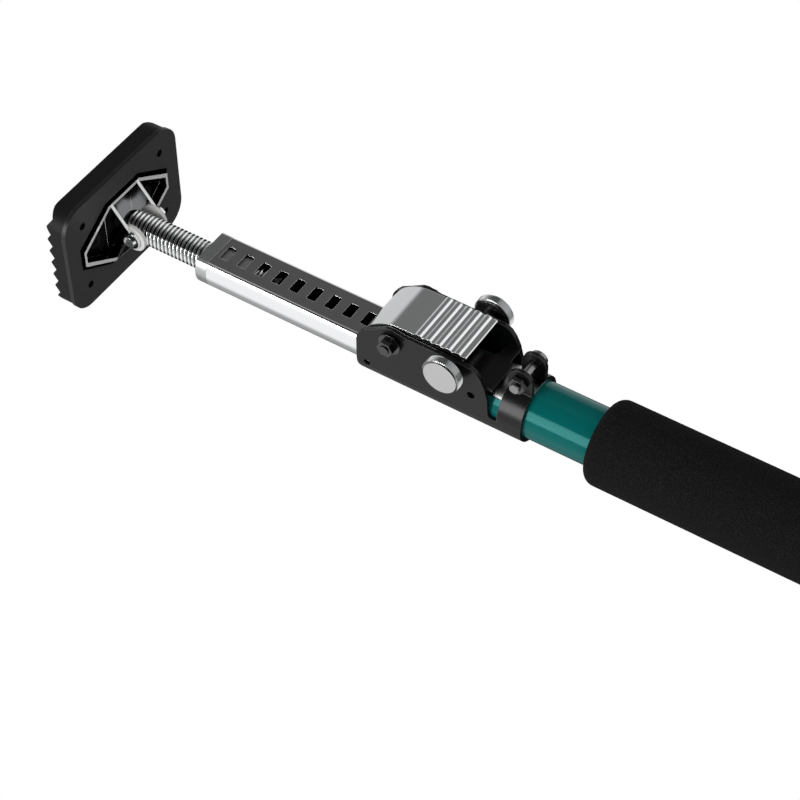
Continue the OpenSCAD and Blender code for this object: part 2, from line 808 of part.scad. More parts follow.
module lever() {
    color([0.8, 0.8, 0.8]) difference() {
        union() {
            across(lever_w) lever_sheet();
            for (side = [-1, 1]) {
                translate([side * (lever_w - lever_t) / 2, 0, 0]) across(lever_t) lever_flange();
            }
        }
        bar_x(pivot_d + 2 * run_gap, -lever_w, lever_w, pivot_v, pivot_n);
    }
}

// Tooth: a hard steel bar across the nose with a tongue that drops into a slot.
// Its place is worked out back from the slot, which it meets square in the middle of its swing.
tooth_play = 0.7;
mid_swing_share = 0.6;
tip_n = inner_flat + move_gap;
tip_drop = pivot_n - tip_n;
mid_swing = latch_angle * mid_swing_share;
tooth_v = pivot_v + (slot_v - pivot_v - tip_drop * sin(mid_swing)) / cos(mid_swing);
tooth_l = slot_l - 2 * tooth_play;
tooth_bar_n = 11.3;
tooth_top_n = 14.8;
module lever_tooth() {
    color([0.45, 0.45, 0.46]) {
        across(slot_w - 2 * tooth_play)
            translate([tooth_v - tooth_l / 2, tip_n]) square([tooth_l, tooth_top_n - tip_n]);
        across(2 * flange_in)
            translate([tooth_v - tooth_l / 2, tooth_bar_n]) square([tooth_l, tooth_top_n - tooth_bar_n]);
    }
}

// Lock shaft: round in the side plates and cut to a half moon under the lever
lock_cut_w = lever_w + 2 * move_gap;
lock_cut_n = lock_n - move_gap;
shaft_half = plate_out + knob_gap + knob_t / 2;
module lock_shaft() {
    color([0.78, 0.78, 0.78]) difference() {
        bar_x(lock_d, -shaft_half, shaft_half, lock_v, lock_n);
        translate([-lock_cut_w / 2, -lock_cut_n - lock_d, top_z - lock_v - lock_d])
            cube([lock_cut_w, lock_d, 2 * lock_d]);
    }
}

// Knob: a knurled disc with a boss, pressed on the shaft's end. It faces -X here.
knob_boss_d = 10.5;
knob_bevel = 0.7;
module knob() {
    color([0.85, 0.85, 0.85]) translate([-plate_out, -lock_n, top_z - lock_v]) rotate([0, -90, 0])
        difference() {
            union() {
                translate([0, 0, move_gap]) cylinder(d = knob_boss_d, h = knob_gap);
                translate([0, 0, knob_gap]) cylinder(d1 = knob_d - 2 * knob_bevel, d2 = knob_d, h = knob_bevel);
                translate([0, 0, knob_gap + knob_bevel]) cylinder(d = knob_d, h = knob_t - 2 * knob_bevel);
                translate([0, 0, knob_gap + knob_t - knob_bevel])
                    cylinder(d1 = knob_d, d2 = knob_d - 2 * knob_bevel, h = knob_bevel);
            }
            translate([0, 0, -cut]) cylinder(d = lock_d, h = shaft_half - plate_out + cut);
        }
}

// Inner tube with its row of slots on the flat
slot_count = floor((inner_l - rack_first - rack_plain) / rack_pitch);
module slot_shape() {
    l = slot_l / 2;
    w = slot_w / 2;
    c = slot_corner;
    polygon([
        [-w + c, -l], [w - c, -l], [w, -l + c], [w, l - c],
        [w - c, l], [-w + c, l], [-w, l - c], [-w, -l + c]
    ]);
}

module inner_tube() {
    color([0.8, 0.8, 0.82]) difference() {
        translate([0, 0, inner_z0]) linear_extrude(inner_l) difference() {
            flat_round_shape(0);
            flat_round_shape(inner_wall);
        }
        for (i = [0 : slot_count - 1]) {
            translate([0, -inner_flat + inner_wall + cut, inner_z1 - rack_first - i * rack_pitch])
                rotate([90, 0, 0]) linear_extrude(inner_wall + 2 * cut) slot_shape();
        }
    }
}

// End plug: a rim on the tube's end and a body inside it, tapped for the rod
plug_bore_d = rod_d + 3 * run_gap;
module end_plug() {
    color([0.5, 0.5, 0.5]) difference() {
        union() {
            translate([0, 0, inner_z1]) linear_extrude(plug_rim) flat_round_shape(0);
            translate([0, 0, inner_z1 - plug_body])
                linear_extrude(plug_body + plug_rim) flat_round_shape(inner_wall + fixed_gap);
        }
        translate([0, rod_offset, inner_z1 - plug_body - cut])
            cylinder(d = plug_bore_d, h = plug_body + plug_rim + 2 * cut);
    }
}

// Guide bush on the inner tube's lower end, running in the outer tube
guide_rim = 14;
guide_body = 12;
guide_bore_d = 9;
module guide_bush() {
    color([0.1, 0.1, 0.1]) difference() {
        union() {
            translate([0, 0, inner_z0 - guide_rim]) cylinder(r = bore_r - 2 * run_gap, h = guide_rim);
            translate([0, 0, inner_z0 - guide_rim])
                linear_extrude(guide_rim + guide_body) flat_round_shape(inner_wall + fixed_gap);
        }
        translate([0, 0, inner_z0 - guide_rim - cut]) cylinder(d = guide_bore_d, h = guide_rim + guide_body + 2 * cut);
    }
}

// Threaded rod: its thread is drawn as rings, with a round top end and a neck for the stop ring
rod_over = 10.5;
rod_z1 = head_pin_z + rod_over;
rod_z0 = rod_z1 - rod_l;
root_r = rod_r - thread_depth;
end_round = 3.2;
neck_r = root_r - 1;
neck_l = 2.2;
neck_tail = 2;
neck_z = rod_z0 + neck_tail;
thread_z0 = neck_z + neck_l + neck_tail;
crest_share = 0.14;
flank_share = 0.36;
thread_count = floor((rod_z1 - end_round - thread_z0) / rod_pitch);
thread_z1 = thread_z0 + thread_count * rod_pitch;

module threaded_rod() {
    color([0.75, 0.75, 0.75]) difference() {
        translate([0, rod_offset, 0]) rotate_extrude() union() {
            polygon(concat(
                [[0, rod_z0], [root_r, rod_z0], [root_r, neck_z], [neck_r, neck_z],
                 [neck_r, neck_z + neck_l], [root_r, neck_z + neck_l]],
                [for (i = [0 : thread_count - 1], p = [
                    [root_r, 0], [rod_r, flank_share], [rod_r, flank_share + crest_share],
                    [root_r, 2 * flank_share + crest_share]
                ]) [p[0], thread_z0 + (i + p[1]) * rod_pitch]],
                [[root_r, thread_z1], [root_r, rod_z1 - end_round],
                 [root_r - end_round, rod_z1], [0, rod_z1]]
            ));
        }
        translate([-rod_d, rod_offset, head_pin_z]) rotate([0, 90, 0])
            cylinder(d = pin_d + 2 * run_gap, h = 2 * rod_d);
    }
}

// Stop ring: snapped into the rod's neck, it meets the end plug when the rod is fully out
ring_r = 7.7;
ring_t = 2;
module stop_ring() {
    color([0.4, 0.4, 0.42]) translate([0, rod_offset, neck_z + (neck_l - ring_t) / 2]) difference() {
        cylinder(r = ring_r, h = ring_t);
        translate([0, 0, -cut]) cylinder(r = neck_r + run_gap, h = ring_t + 2 * cut);
    }
}

tread();  // foot_tread
back_plate();  // foot_back_plate
bracket();  // foot_bracket
rivets();  // foot_rivets
swivel_pin();  // foot_pin
swivel_washers();  // foot_washers
foot_stud();
foot_plug();
foot_plug_pin();
outer_tube();
foam_grip();
mouth_bush();
housing();
band_liner();
clamp_bolt();
clamp_nut();
cross_plate();
pivot_bolt();
pivot_washer();
pivot_nut();
pivot_sleeve();
lever_spring();
lever();
lever_tooth();
lock_shaft();
knob();  // near_knob
mirror([1, 0, 0]) knob();  // far_knob
inner_tube();
end_plug();
guide_bush();
stop_ring();
threaded_rod();
at_head() swivel_washers();  // head_washers
at_head() swivel_pin();  // head_pin
at_head() rivets();  // head_rivets
at_head() bracket();  // head_bracket
at_head() back_plate();  // head_back_plate
at_head() tread();  // head_tread
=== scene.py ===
import math

import bmesh
import bpy
from mathutils import Matrix, Vector


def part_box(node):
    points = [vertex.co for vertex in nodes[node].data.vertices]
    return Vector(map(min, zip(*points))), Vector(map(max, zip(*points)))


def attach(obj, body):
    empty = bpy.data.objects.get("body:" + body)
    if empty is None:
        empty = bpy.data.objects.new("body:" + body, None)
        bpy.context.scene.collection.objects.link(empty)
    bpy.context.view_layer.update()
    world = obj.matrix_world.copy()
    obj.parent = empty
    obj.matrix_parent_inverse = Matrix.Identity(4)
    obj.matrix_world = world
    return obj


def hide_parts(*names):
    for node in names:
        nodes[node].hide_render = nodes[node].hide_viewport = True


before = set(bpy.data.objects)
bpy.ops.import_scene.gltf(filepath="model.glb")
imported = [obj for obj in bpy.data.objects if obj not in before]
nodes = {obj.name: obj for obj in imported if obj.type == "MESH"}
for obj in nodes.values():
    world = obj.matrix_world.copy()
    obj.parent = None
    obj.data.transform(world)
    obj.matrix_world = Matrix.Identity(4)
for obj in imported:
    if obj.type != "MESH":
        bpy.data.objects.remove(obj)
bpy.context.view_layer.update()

# Studio
# The camera stands low on the pole's near side and looks up along it to the head.
# The background is white, with a dark panel over the lock that gives the chrome its depth.
LOOK_RIGHT = Vector((0.538, 0.0016, -0.8429))
LOOK_UP = Vector((0.6322, -0.6618, 0.4022))
LOOK_BACK = Vector((-0.5572, -0.7493, -0.3571))
CAMERA_PLACE = Vector((-0.6212, -0.7944, 1.1452))
LENS_PIXELS = 2221
PHOTO_PIXELS = 800
SENSOR = 36
CLIP_NEAR = 0.05
CLIP_FAR = 50

camera_data = bpy.data.cameras.new("camera")
camera_data.sensor_width = SENSOR
camera_data.lens = LENS_PIXELS / PHOTO_PIXELS * SENSOR
camera_data.clip_start = CLIP_NEAR
camera_data.clip_end = CLIP_FAR
camera = bpy.data.objects.new("camera", camera_data)
bpy.context.scene.collection.objects.link(camera)
turn = Matrix((LOOK_RIGHT, LOOK_UP, LOOK_BACK)).transposed()
camera.matrix_world = Matrix.Translation(CAMERA_PLACE) @ turn.to_4x4()
bpy.context.scene.camera = camera
bpy.context.scene.view_settings.view_transform = "Standard"


def link(tree, source, target):
    tree.links.new(source, target)


def new_material(name):
    material = bpy.data.materials.new(name)
    material.use_nodes = True
    tree = material.node_tree
    tree.nodes.clear()
    return material, tree


def set_output(tree, shader):
    """Makes a shader the material's surface."""
    out = tree.nodes.new("ShaderNodeOutputMaterial")
    link(tree, shader.outputs["BSDF"], out.inputs["Surface"])


# Room: white all round in gloss but for five soft patches, which only reflections show.
# Each patch has a direction, how nearly a reflection has to face it to begin and to be
# full, and its level. A later patch lies over an earlier one.
ROOM_LIGHT = 0.62
CAMERA_SIDE = (LOOK_BACK, 0.25, 0.75, 0.02)
OVERHEAD = (Vector((0.3, -0.1, 0.95)), 0.5, 0.78, 0.63)
FAR_STRIPE = (Vector((0.1, 0.93, 0.357)), 0.72, 0.97, 0.38)
OVER_LOCK = (Vector((0.557, -0.749, 0.357)), 0.86, 0.95, 0.17)
UNDER_LOCK = (Vector((0.557, 0.749, -0.357)), 0.55, 0.8, 0.02)

world = bpy.data.worlds.new("room")
bpy.context.scene.world = world
world.use_nodes = True
room = world.node_tree
room.nodes.clear()


def room_facing(direction, low, high):
    """How far the room's direction faces the given one, from 0 at low to 1 at high."""
    place = room.nodes.new("ShaderNodeTexCoord")
    dot = room.nodes.new("ShaderNodeVectorMath")
    dot.operation = "DOT_PRODUCT"
    dot.inputs[1].default_value = direction
    link(room, place.outputs["Generated"], dot.inputs[0])
    span = room.nodes.new("ShaderNodeMapRange")
    span.interpolation_type = "SMOOTHSTEP"
    span.inputs["From Min"].default_value = low
    span.inputs["From Max"].default_value = high
    link(room, dot.outputs["Value"], span.inputs["Value"])
    return span.outputs["Result"]


def room_mix(amount, low, high):
    """The room's level, from low where the amount is 0 to high where it is 1."""
    mix = room.nodes.new("ShaderNodeMix")
    mix.data_type = "RGBA"
    link(room, amount, mix.inputs["Factor"])
    for value, socket in ((low, mix.inputs["A"]), (high, mix.inputs["B"])):
        if isinstance(value, (int, float)):
            socket.default_value = (value, value, value, 1)
        else:
            link(room, value, socket)
    return mix.outputs["Result"]


reflected = 1.0
for direction, begins, full, level in (CAMERA_SIDE, OVERHEAD, FAR_STRIPE, OVER_LOCK, UNDER_LOCK):
    reflected = room_mix(room_facing(direction, begins, full), reflected, level)
rays = room.nodes.new("ShaderNodeLightPath")
plain_room = room_mix(rays.outputs["Is Camera Ray"], ROOM_LIGHT, 1.0)
seen_room = room_mix(rays.outputs["Is Glossy Ray"], plain_room, reflected)
seen_room = room_mix(rays.outputs["Is Transmission Ray"], seen_room, 1.0)
background = room.nodes.new("ShaderNodeBackground")
room_out = room.nodes.new("ShaderNodeOutputWorld")
link(room, seen_room, background.inputs["Color"])
link(room, background.outputs["Background"], room_out.inputs["Surface"])

# Floor: pale, and lifted towards white for the camera alone
FLOOR_SIZE = 44
FLOOR_GREY = 0.9
FLOOR_ROUGH = 0.7
FLOOR_GLOW = 0.38
bpy.ops.mesh.primitive_plane_add(size=FLOOR_SIZE, location=(0, 0, 0))
floor = bpy.context.object
floor.name = "floor"
floor_material, floor_tree = new_material("pale_floor")
floor_shader = floor_tree.nodes.new("ShaderNodeBsdfPrincipled")
floor_shader.inputs["Base Color"].default_value = (FLOOR_GREY, FLOOR_GREY, FLOOR_GREY, 1)
floor_shader.inputs["Roughness"].default_value = FLOOR_ROUGH
floor_rays = floor_tree.nodes.new("ShaderNodeLightPath")
floor_glow = floor_tree.nodes.new("ShaderNodeMath")
floor_glow.operation = "MULTIPLY"
floor_glow.inputs[1].default_value = FLOOR_GLOW
link(floor_tree, floor_rays.outputs["Is Camera Ray"], floor_glow.inputs[0])
link(floor_tree, floor_glow.outputs["Value"], floor_shader.inputs["Emission Strength"])
floor_shader.inputs["Emission Color"].default_value = (1, 1, 1, 1)
set_output(floor_tree, floor_shader)
floor.data.materials.append(floor_material)
floor.visible_glossy = False

# Lamps: a key over the near side, and a fill from the far side that gloss doesn't mirror
LOCK_CENTRE = Vector((0, 0, 1.52))
KEY_OFFSET = (-1.75, -0.42, 0.75)
KEY_SIZE = 1.15
KEY_POWER = 34
FILL_OFFSET = (1.5, -0.9, 0.9)
FILL_SIZE = 0.8
FILL_POWER = 5


def softbox(name, offset, size, power, mirrored):
    """A square lamp that looks at the lock, mirrored in gloss or not."""
    lamp = bpy.data.lights.new(name, "AREA")
    lamp.size = size
    lamp.energy = power
    item = bpy.data.objects.new(name, lamp)
    item.location = LOCK_CENTRE + Vector(offset)
    item.visible_glossy = mirrored
    item.rotation_mode = "QUATERNION"
    item.rotation_quaternion = (-Vector(offset)).to_track_quat("-Z", "Y")
    bpy.context.scene.collection.objects.link(item)


softbox("key_lamp", KEY_OFFSET, KEY_SIZE, KEY_POWER, mirrored=True)
softbox("fill_lamp", FILL_OFFSET, FILL_SIZE, FILL_POWER, mirrored=False)

# Foot and head pads
# A ridged rubber tread on a black steel plate, with a zinc tray riveted in its middle.
# The foot is the same as the head, which is the one that the photograph shows.
FLAT_SHARE = 0.9
SIDE_SHARE = 0.05
RIM_PAINTED_SHADE = 0.006
EAR_INSIDE = 0.0105
EAR_FLOOR_PAINTED_REFLECTION = 0.5
TRAY_SHEET = 0.0018
FLOOR_BAND = 0.0003
TRAY_PAINTED_DARK_REFLECTION = 0.03
TRAY_HIGHLIGHT_RADIUS = 0.0005
TRAY_HIGHLIGHT_TURN = 0.03
SHEARED_METAL = 0.3
GRAIN_ROUGHNESS = 0.6
LEAST_ROUGH = 0.02
BEVEL_SAMPLES = 4


def new_group(name, inputs, outputs):
    """An empty shader node group: its inputs with their start values, and its outputs' kinds."""
    group = bpy.data.node_groups.new(name, "ShaderNodeTree")
    for socket_name, value in inputs.items():
        kind = "NodeSocketFloat" if isinstance(value, float) else "NodeSocketVector"
        socket = group.interface.new_socket(socket_name, in_out="INPUT", socket_type=kind)
        socket.default_value = value
    for socket_name, kind in outputs.items():
        group.interface.new_socket(socket_name, in_out="OUTPUT", socket_type=kind)
    return group, group.nodes.new("NodeGroupInput"), group.nodes.new("NodeGroupOutput")


def add_group(tree, group, values):
    """Puts a node group in a material with the material's own values."""
    node = tree.nodes.new("ShaderNodeGroup")
    node.node_tree = group
    for name, value in values.items():
        node.inputs[name].default_value = value
    return node


def math_node(tree, operation, *given):
    """The result of a Math node that is fed by numbers and sockets."""
    made = tree.nodes.new("ShaderNodeMath")
    made.operation = operation
    for index, value in enumerate(given):
        if isinstance(value, (int, float)):
            made.inputs[index].default_value = value
        else:
            link(tree, value, made.inputs[index])
    return made.outputs["Value"]


def vector_node(tree, operation, first, second=None):
    """A Vector Math node that is fed by one or two vectors or sockets."""
    made = tree.nodes.new("ShaderNodeVectorMath")
    made.operation = operation
    for index, value in enumerate((first, second)):
        if isinstance(value, tuple):
            made.inputs[index].default_value = value
        elif value is not None:
            link(tree, value, made.inputs[index])
    return made


def split(tree, vector):
    """The X, Y and Z of a vector."""
    parts = tree.nodes.new("ShaderNodeSeparateXYZ")
    link(tree, vector, parts.inputs["Vector"])
    return parts.outputs


def object_place(tree):
    """A surface point's place on its piece."""
    return tree.nodes.new("ShaderNodeTexCoord").outputs["Object"]


def make_grain():
    """Fine unevenness, and slow clouds, of a brushed, sprayed, moulded or foamed surface."""
    inputs = {"Scale": 300.0, "Detail": 4.0, "Cloud Scale": 20.0, "Vector": (0, 0, 0)}
    outputs = {"Height": "NodeSocketFloat", "Cloud": "NodeSocketFloat"}
    group, inside, outside = new_group("surface_grain", inputs, outputs)
    for scale, result in (("Scale", "Height"), ("Cloud Scale", "Cloud")):
        noise = group.nodes.new("ShaderNodeTexNoise")
        noise.inputs["Roughness"].default_value = GRAIN_ROUGHNESS
        link(group, inside.outputs["Vector"], noise.inputs["Vector"])
        link(group, inside.outputs[scale], noise.inputs["Scale"])
        link(group, inside.outputs["Detail"], noise.inputs["Detail"])
        link(group, noise.outputs["Fac"], outside.inputs[result])
    return group


def make_own_normal():
    """A face's direction on its piece, which stays the same when a joint turns the piece."""
    group, _, outside = new_group("own_normal", {}, {"Normal": "NodeSocketVector"})
    plain = group.nodes.new("ShaderNodeNewGeometry")
    turned = group.nodes.new("ShaderNodeVectorTransform")
    turned.vector_type = "NORMAL"
    turned.convert_from = "WORLD"
    turned.convert_to = "OBJECT"
    link(group, plain.outputs["True Normal"], turned.inputs["Vector"])
    link(group, turned.outputs["Vector"], outside.inputs["Normal"])
    return group


def make_painted_edge_highlight():
    """1 where a surface turns over an edge and 0 on its plain faces; the edges it marks keep a painted
    highlight.
    """
    inputs = {"Radius": 0.0004, "Turn": 0.1}
    group, inside, outside = new_group("painted_edge_highlight", inputs, {"Mask": "NodeSocketFloat"})
    soft = group.nodes.new("ShaderNodeBevel")
    soft.samples = BEVEL_SAMPLES
    link(group, inside.outputs["Radius"], soft.inputs["Radius"])
    plain = group.nodes.new("ShaderNodeNewGeometry")
    dot = vector_node(group, "DOT_PRODUCT", soft.outputs["Normal"], plain.outputs["True Normal"])
    span = group.nodes.new("ShaderNodeMapRange")
    span.inputs["From Min"].default_value = 1
    link(group, math_node(group, "SUBTRACT", 1, inside.outputs["Turn"]), span.inputs["From Max"])
    link(group, dot.outputs["Value"], span.inputs["Value"])
    link(group, span.outputs["Result"], outside.inputs["Mask"])
    return group


grain = make_grain()
own_normal = make_own_normal()
painted_edge_highlight = make_painted_edge_highlight()


def finish(name, colour, metal, rough, spread=0.03, scale=300, depth=0.00002, stretch=(1, 1, 1),
           tint=0.06, edge=0.0, specular=0.5):
    """A material whose roughness, colour and height vary a little over the surface.

    With an edge radius it also gets slightly rounded edges, as pressed and turned parts have.
    """
    material, tree = new_material(name)
    mapping = tree.nodes.new("ShaderNodeMapping")
    mapping.inputs["Scale"].default_value = stretch
    link(tree, object_place(tree), mapping.inputs["Vector"])
    pattern = add_group(tree, grain, {"Scale": scale})
    link(tree, mapping.outputs["Vector"], pattern.inputs["Vector"])
    shader = tree.nodes.new("ShaderNodeBsdfPrincipled")
    shader.inputs["Metallic"].default_value = metal
    shader.inputs["Specular IOR Level"].default_value = specular
    blend = tree.nodes.new("ShaderNodeMix")
    blend.data_type = "RGBA"
    blend.inputs["A"].default_value = (*[c * (1 - tint) for c in colour], 1)
    blend.inputs["B"].default_value = (*[min(1, c * (1 + tint)) for c in colour], 1)
    link(tree, pattern.outputs["Cloud"], blend.inputs["Factor"])
    link(tree, blend.outputs["Result"], shader.inputs["Base Color"])
    span = tree.nodes.new("ShaderNodeMapRange")
    span.inputs["To Min"].default_value = max(LEAST_ROUGH, rough - spread)
    span.inputs["To Max"].default_value = rough + spread
    link(tree, pattern.outputs["Height"], span.inputs["Value"])
    link(tree, span.outputs["Result"], shader.inputs["Roughness"])
    bump = tree.nodes.new("ShaderNodeBump")
    bump.inputs["Strength"].default_value = 1
    bump.inputs["Distance"].default_value = depth
    link(tree, pattern.outputs["Height"], bump.inputs["Height"])
    if edge:
        bevel = tree.nodes.new("ShaderNodeBevel")
        bevel.samples = BEVEL_SAMPLES
        bevel.inputs["Radius"].default_value = edge
        link(tree, bevel.outputs["Normal"], bump.inputs["Normal"])
    link(tree, bump.outputs["Normal"], shader.inputs["Normal"])
    set_output(tree, shader)
    return material


def shader_of(material):
    return next(node for node in material.node_tree.nodes if node.type == "BSDF_PRINCIPLED")


def dress(material, *names):
    """Gives CAD nodes a material."""
    for name in names:
        data = nodes[name].data
        data.materials.clear()
        data.materials.append(material)


def painted_highlight_edges(tree, radius, turned):
    """The painted edge highlight group's mask, with a material's own values."""
    return add_group(tree, painted_edge_highlight, {"Radius": radius, "Turn": turned}).outputs["Mask"]


def facing(tree):
    """The own normal group's direction, in a material."""
    return add_group(tree, own_normal, {}).outputs["Normal"]


def paint_shade_where(material, keep_bright, dark):
    """Paints shade into a finish: mixes its colour towards a dark one wherever none of the masks is 1.
    """
    tree = material.node_tree
    shader = shader_of(material)
    colour = shader.inputs["Base Color"].links[0].from_socket
    bright = keep_bright[0]
    for mask in keep_bright[1:]:
        bright = math_node(tree, "MAXIMUM", bright, mask)
    mix = tree.nodes.new("ShaderNodeMix")
    mix.data_type = "RGBA"
    mix.inputs["A"].default_value = (dark, dark, dark, 1)
    link(tree, bright, mix.inputs["Factor"])
    link(tree, colour, mix.inputs["B"])
    link(tree, mix.outputs["Result"], shader.inputs["Base Color"])


def across_pole(tree):
    """1 on the plate's two broad faces and 0 on its thin rim, which gets painted shade so that it is as
    dark as the rubber.
    """
    along_pole = math_node(tree, "ABSOLUTE", split(tree, facing(tree))["Z"])
    return math_node(tree, "GREATER_THAN", along_pole, FLAT_SHARE)


def between_ears(tree, half_width, reflection_share):
    """The share of the tray's steel colour that is left between its ears as a painted reflection, and 0
    outside them.
    """
    off_middle = math_node(tree, "ABSOLUTE", split(tree, object_place(tree))["X"])
    return math_node(tree, "MULTIPLY", math_node(tree, "LESS_THAN", off_middle, half_width), reflection_share)


def sheet_edges(tree, floor_low, floor_high):
    """1 on the tray's sheared rims, which don't face along the pin or straight across it.

    The two tray floors, at the heights floor_low and floor_high, are left out.
    """
    height = split(tree, object_place(tree))["Z"]
    direction = split(tree, facing(tree))
    off_pin = math_node(tree, "COMPARE", direction["X"], 0, SIDE_SHARE)
    off_side = math_node(tree, "COMPARE", direction["Y"], 0, FLAT_SHARE)
    rims = math_node(tree, "MULTIPLY", off_pin, off_side)
    for floor_height in (floor_low, floor_high):
        on_floor = math_node(tree, "COMPARE", height, floor_height, FLOOR_BAND)
        rims = math_node(tree, "MULTIPLY", rims, math_node(tree, "SUBTRACT", 1, on_floor))
    return rims


rubber = finish("moulded_rubber", (0.005, 0.005, 0.005), 0, 0.5, spread=0.08, scale=900,
                depth=0.00008, tint=0.25, edge=0.0006, specular=0.13)
pad_paint = finish("satin_black_plate", (0.042, 0.042, 0.042), 0, 0.4, spread=0.05, scale=1400,
                   depth=0.00003, edge=0.0005, specular=0.3)
zinc = finish("bright_zinc", (0.82, 0.83, 0.84), 1, 0.13, spread=0.05, scale=500, depth=0.000006,
              edge=0.0003)
nylon = finish("white_nylon", (0.62, 0.62, 0.61), 0, 0.4, scale=700, depth=0.00002, edge=0.0003)
dark_rivet = finish("dark_rivet", (0.1, 0.1, 0.1), 1, 0.35, edge=0.0003)
tray_steel = finish("tray_steel", (0.8, 0.81, 0.82), 1, 0.16, spread=0.05, scale=500, depth=0.000006,
                    edge=0.0004)
# Painted shade: the plate's thin rim is darkened to the rubber's black.
paint_shade_where(pad_paint, [across_pole(pad_paint.node_tree)], RIM_PAINTED_SHADE)

# The tray's floor and walls get a painted dark reflection. Between the ears half of the steel's colour
# is left as a painted reflection, and the edges and sheared rims keep the bright steel as painted
# highlights.
tray_tree = tray_steel.node_tree
foot_tray_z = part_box("foot_bracket")[0][2] + TRAY_SHEET
head_tray_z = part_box("head_bracket")[1][2] - TRAY_SHEET
cut_edges = sheet_edges(tray_tree, foot_tray_z, head_tray_z)
tray_masks = [
    painted_highlight_edges(tray_tree, TRAY_HIGHLIGHT_RADIUS, TRAY_HIGHLIGHT_TURN),
    cut_edges,
    between_ears(tray_tree, EAR_INSIDE, EAR_FLOOR_PAINTED_REFLECTION),
]
paint_shade_where(tray_steel, tray_masks, TRAY_PAINTED_DARK_REFLECTION)
metal_span = tray_tree.nodes.new("ShaderNodeMapRange")
metal_span.inputs["To Min"].default_value = 1
metal_span.inputs["To Max"].default_value = SHEARED_METAL
link(tray_tree, cut_edges, metal_span.inputs["Value"])
link(tray_tree, metal_span.outputs["Result"], shader_of(tray_steel).inputs["Metallic"])

dress(rubber, "head_tread", "foot_tread")
dress(pad_paint, "head_back_plate", "foot_back_plate")
dress(tray_steel, "head_bracket", "foot_bracket")
dress(zinc, "head_pin", "foot_pin")
dress(nylon, "head_washers", "foot_washers")
dress(dark_rivet, "head_rivets", "foot_rivets")

# Tubes
# The outer tube is sprayed in gloss teal, and the inner one is drawn, punched and chromed.
# A grey plug closes each one, and the foot's stud is pinned in its own.
ON_FLAT = -0.98
OUTWARD = 0.001
FLAT_PAINTED_DARK_REFLECTION = 0.42
INSIDE_PAINTED_SHADE = 0.03
SLOT_HIGHLIGHT_RADIUS = 0.0002
SLOT_HIGHLIGHT_TURN = 0.12
TEAL_GLOSS = (0.3, 1.0, 0.94, 1)

teal = finish("gloss_teal", (0.0015, 0.088, 0.084), 0, 0.1, spread=0.02, scale=200, depth=0.000004,
              tint=0.05, edge=0.001, specular=0.22)
chrome = finish("chrome", (0.86, 0.87, 0.88), 1, 0.07, spread=0.025, scale=260, depth=0.0000012,
                stretch=(1, 1, 0.04), tint=0.02, edge=0.0004)
plug_metal = finish("grey_plug", (0.45, 0.46, 0.46), 1, 0.3, spread=0.08, scale=500, edge=0.0004)
plastic = finish("black_plastic", (0.006, 0.006, 0.006), 0, 0.4, scale=900, edge=0.0003, specular=0.3)
shader_of(teal).inputs["Specular Tint"].default_value = TEAL_GLOSS


def outer_face(tree):
    """1 on faces that look away from the pole's axis and 0 on those that look at it."""
    off_axis = vector_node(tree, "MULTIPLY", object_place(tree), (1, 1, 0))
    dot = vector_node(tree, "DOT_PRODUCT", off_axis.outputs["Vector"], facing(tree))
    return math_node(tree, "GREATER_THAN", dot.outputs["Value"], OUTWARD)


def off_flat(tree):
    """0 on the punched flat, which gets a painted dark reflection, and 1 elsewhere."""
    return math_node(tree, "GREATER_THAN", split(tree, facing(tree))["Y"], ON_FLAT)


# Painted reflection: the punched flat is darkened, and a thin painted highlight stays on its slot edges.
slot_painted_highlight = painted_highlight_edges(chrome.node_tree, SLOT_HIGHLIGHT_RADIUS, SLOT_HIGHLIGHT_TURN)
paint_shade_where(chrome, [off_flat(chrome.node_tree), slot_painted_highlight], FLAT_PAINTED_DARK_REFLECTION)
# Painted shade: faces that look at the pole's axis, inside the tube, are darkened.
paint_shade_where(chrome, [outer_face(chrome.node_tree)], INSIDE_PAINTED_SHADE)
dress(teal, "outer_tube")
dress(chrome, "inner_tube")
dress(plug_metal, "end_plug", "foot_plug")
dress(plastic, "mouth_bush", "guide_bush")
dress(zinc, "foot_stud", "foot_plug_pin")

# Lock housing
# One sheet bent round the tube, sprayed satin black, with its band, bolts and cross plate.
# A painted highlight runs along the sheet's edges, and its faces are a deep black.
FACE_DARK = 0.005
HOUSING_HIGHLIGHT_RADIUS = 0.0004
HOUSING_HIGHLIGHT_TURN = 0.08
housing_paint = finish("satin_black_housing", (0.08, 0.08, 0.08), 0, 0.26, spread=0.05, scale=1200,
                       depth=0.00002, tint=0.1, edge=0.0005, specular=0.24)
# Painted highlight: the sheet's edges keep a lighter grey than its darkened faces.
housing_painted_highlight = painted_highlight_edges(housing_paint.node_tree, HOUSING_HIGHLIGHT_RADIUS, HOUSING_HIGHLIGHT_TURN)
paint_shade_where(housing_paint, [housing_painted_highlight], FACE_DARK)
black_steel = finish("black_oxide_steel", (0.09, 0.09, 0.092), 1, 0.2, spread=0.08, scale=600,
                     edge=0.0004)
dull_zinc = finish("dull_zinc", (0.28, 0.28, 0.28), 1, 0.28, spread=0.08, scale=700, depth=0.00001,
                   tint=0.1, edge=0.0003)
dress(housing_paint, "housing", "cross_plate")
dress(dull_zinc, "band_liner", "clamp_bolt")
dress(zinc, "pivot_sleeve", "lever_spring", "lock_shaft")
dress(black_steel, "clamp_nut", "pivot_bolt", "pivot_washer", "pivot_nut", "lever_tooth", "stop_ring")

# Lever
# A pressed steel channel, polished and chromed, with grip ribs on its flat.
polished = finish("polished_chrome", (0.86, 0.87, 0.88), 1, 0.08, spread=0.02, scale=500, depth=0.000001,
                  tint=0.02, edge=0.0003)
dress(polished, "lever")

